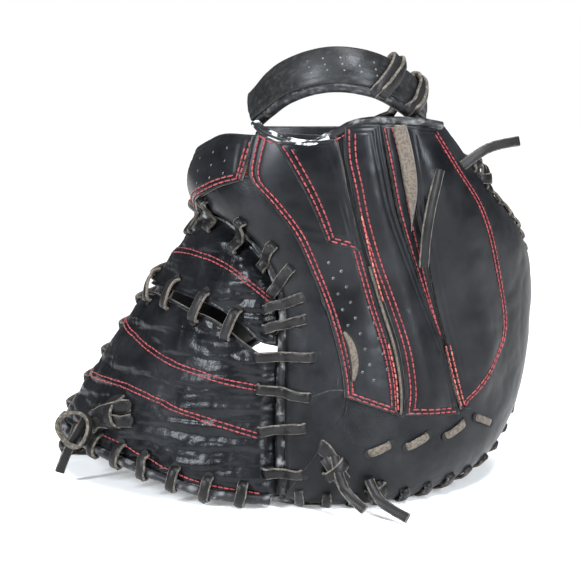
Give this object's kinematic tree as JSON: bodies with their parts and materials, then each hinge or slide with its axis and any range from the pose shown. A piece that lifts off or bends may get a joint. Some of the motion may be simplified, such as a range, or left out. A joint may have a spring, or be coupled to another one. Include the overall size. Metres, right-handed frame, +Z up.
{
  "type": "baseball glove",
  "caption": "Left-hand catcher's mitt in black leather with red stitching, a laced one-piece web and a wrist strap.",
  "frame": {"origin": "middle of the mitt's footprint on the surface it stands on", "axes": "+Z up from the finger tips to the wrist, -Y towards the viewer of the back of the hand, +X towards the little finger"},
  "size_m": [0.3183, 0.2009, 0.2753],
  "materials": {
    "shell_leather": "black grained cowhide, satin",
    "panel_leather": "smooth black cowhide with a soft gloss",
    "web_leather": "creased black cowhide",
    "palm_leather": "black palm leather, worn matte",
    "lining_leather": "tan-red deerskin lining, matte",
    "raw_edge_leather": "raw cut leather edge, tan grey",
    "binding_leather": "thin black binding, scuffed grey",
    "felt_padding": "wool felt and foam padding",
    "strap_leather": "smooth black leather, soft gloss",
    "strap_lining": "matte padded strap lining",
    "lace": "black rawhide lace with tan edges"
  },
  "bodies": {
    "finger_section": {"back_lining": "lining_leather", "back_tab": "raw_edge_leather", "crotch_leather": "shell_leather", "finger_hood": "panel_leather", "finger_rim_lace": "lace", "finger_rim_roll": "felt_padding", "finger_rim_welt": "shell_leather", "finger_slit_binding": "raw_edge_leather", "finger_stall_walls": "lining_leather", "finger_tip_tail": "lace", "finger_welts": "raw_edge_leather", "heel_binding": "binding_leather", "index_back_panel": "panel_leather", "little_finger_back_panel": "panel_leather", "little_finger_loop": "lining_leather", "little_finger_tail": "lace", "middle_back_panel": "panel_leather", "palm_leather_finger_side": "palm_leather", "palm_lining": "lining_leather", "palm_pad_finger_side": "felt_padding", "rim_back_leather": "shell_leather", "ring_back_panel": "panel_leather", "thumb_crotch_panel": "panel_leather", "tie_down_knot": "lace", "tie_down_lace": "lace", "tie_down_tail": "lace", "web_bridge_lace": "lace", "web_crotch_lace": "lace", "web_edge_roll": "binding_leather", "web_finger_lace": "lace", "web_lace_tail": "lace", "web_lower_panel": "web_leather", "web_ring_knot": "lace", "web_ring_loop": "lace", "web_tip_binding": "binding_leather", "web_tip_lace": "lace", "web_upper_panel": "web_leather", "wrist_binding": "binding_leather", "wrist_lace_tail": "lace"},
    "thumb_section": {"palm_leather_thumb_side": "palm_leather", "palm_pad_thumb_side": "felt_padding", "thumb_back_leather": "shell_leather", "thumb_back_panel": "panel_leather", "thumb_edge_roll": "binding_leather", "thumb_loop": "lining_leather", "thumb_rim_lace": "lace", "thumb_rim_roll": "felt_padding", "thumb_rim_welt": "shell_leather", "web_thumb_lace": "lace"},
    "wrist_strap_body": {"strap_edge_roll": "binding_leather", "strap_lace": "lace", "strap_pad": "strap_lining", "wrist_strap": "strap_leather"}
  },
  "joints": [
    {"name": "mitt_close", "type": "hinge", "parent": "finger_section", "child": "thumb_section", "pos_m": [-0.08198, 0.01989, 0.1188], "axis": [-0.5469, 0.1712, -0.8195], "range_deg": [-12, 25]},
    {"name": "strap_swing", "type": "hinge", "parent": "finger_section", "child": "wrist_strap_body", "pos_m": [0.0288, -0.0372, 0.23855], "axis": [0.9982, 0.0593, 0.0049], "range_deg": [-12, 6]}
  ]
}
